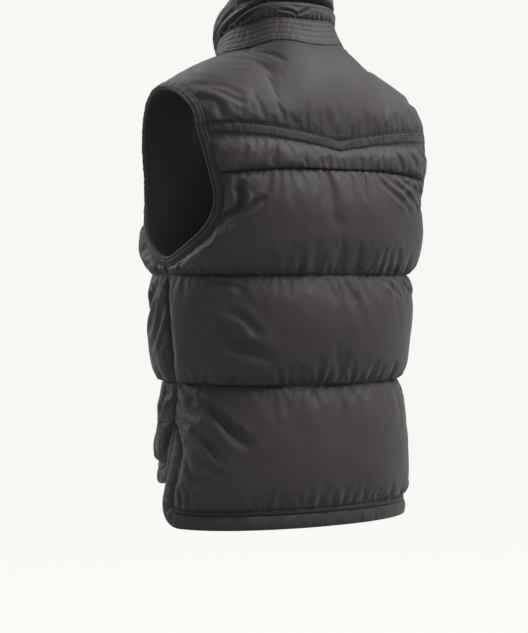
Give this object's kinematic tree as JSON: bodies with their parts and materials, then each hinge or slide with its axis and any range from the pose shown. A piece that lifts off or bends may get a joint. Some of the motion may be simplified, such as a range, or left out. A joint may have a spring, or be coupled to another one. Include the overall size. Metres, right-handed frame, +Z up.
{
  "type": "quilted puffer vest",
  "caption": "Sleeveless quilted puffer vest with stand collar, western yoke, wide channels, side vents and a rounded drop-tail hem, zipped up, in its hollow worn form.",
  "frame": {"origin": "on the middle plane, level with the side neck points, where the shoulders carry the vest", "axes": "+Z up, +X towards the wearer's left, -Y towards the front"},
  "size_m": [0.3838, 0.2886, 0.7152],
  "materials": {
    "shell_nylon": "fine woven nylon, soft satin sheen, charcoal",
    "trim_nylon": "fine woven nylon, soft satin sheen, charcoal",
    "collar_nylon": "fine woven nylon, soft satin sheen, charcoal",
    "zip_tape": "ribbed woven tape, matt, near black",
    "zip_metal": "dark lacquered zinc"
  },
  "bodies": {
    "vest": {"back_yoke": "shell_nylon", "back_panel": "shell_nylon", "front_left": "shell_nylon", "front_right": "shell_nylon", "yoke_band": "trim_nylon", "back_hem_band": "trim_nylon", "front_hem_band_left": "trim_nylon", "front_hem_band_right": "trim_nylon", "armhole_binding_left": "trim_nylon", "armhole_binding_right": "trim_nylon", "collar_stand": "collar_nylon", "collar_upper": "collar_nylon", "zip_tape_left": "zip_tape", "zip_tape_right": "zip_tape", "zip_slider": "zip_metal"},
    "pull_tab": {"zip_pull_tab": "zip_metal"}
  },
  "joints": [
    {"name": "pull_tab_swing", "type": "hinge", "parent": "vest", "child": "pull_tab", "pos_m": [0, -0.11247, 0.00539], "axis": [-1, 0, 0], "range_deg": [0, 170]}
  ]
}
